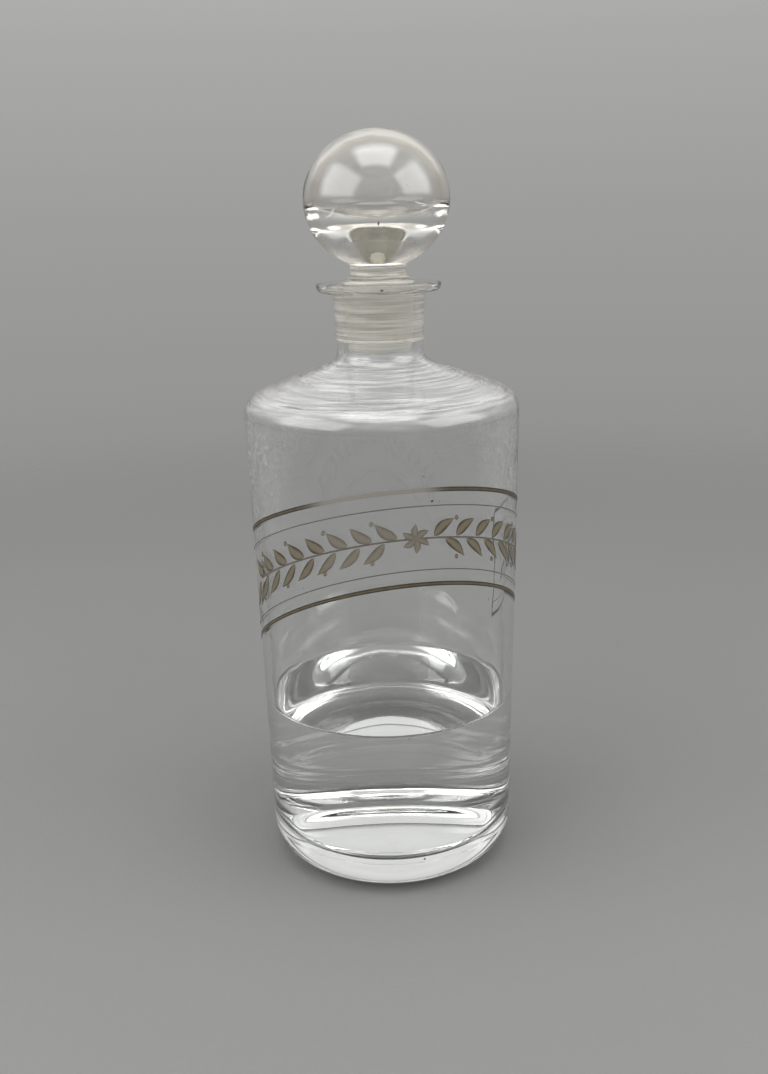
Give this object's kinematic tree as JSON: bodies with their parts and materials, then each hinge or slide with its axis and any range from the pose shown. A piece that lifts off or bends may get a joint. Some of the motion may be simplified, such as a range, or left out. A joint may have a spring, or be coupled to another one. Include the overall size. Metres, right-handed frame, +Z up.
{
  "type": "apothecary bottle",
  "caption": "Clear round-shouldered apothecary bottle with a flat lip, a ground-in hollow globe stopper and a shallow fill of clear liquid.",
  "frame": {"origin": "on the table, under the middle of the base", "axes": "+Z up along the axis of the bottle, the neck and the stopper; -Y towards the front, where the ribbon is"},
  "size_m": [0.096, 0.096, 0.2594],
  "materials": {
    "bottle_glass": "polished",
    "stopper_glass": "satin",
    "clear_liquid": "polished"
  },
  "bodies": {
    "bottle": {"bottle": "bottle_glass", "liquid": "clear_liquid"},
    "stopper": {"stopper": "stopper_glass"}
  },
  "joints": [
    {"name": "stopper_lift", "type": "slide", "parent": "bottle", "child": "stopper", "axis": [0, 0, 1], "range_m": [0, 0.045]}
  ]
}
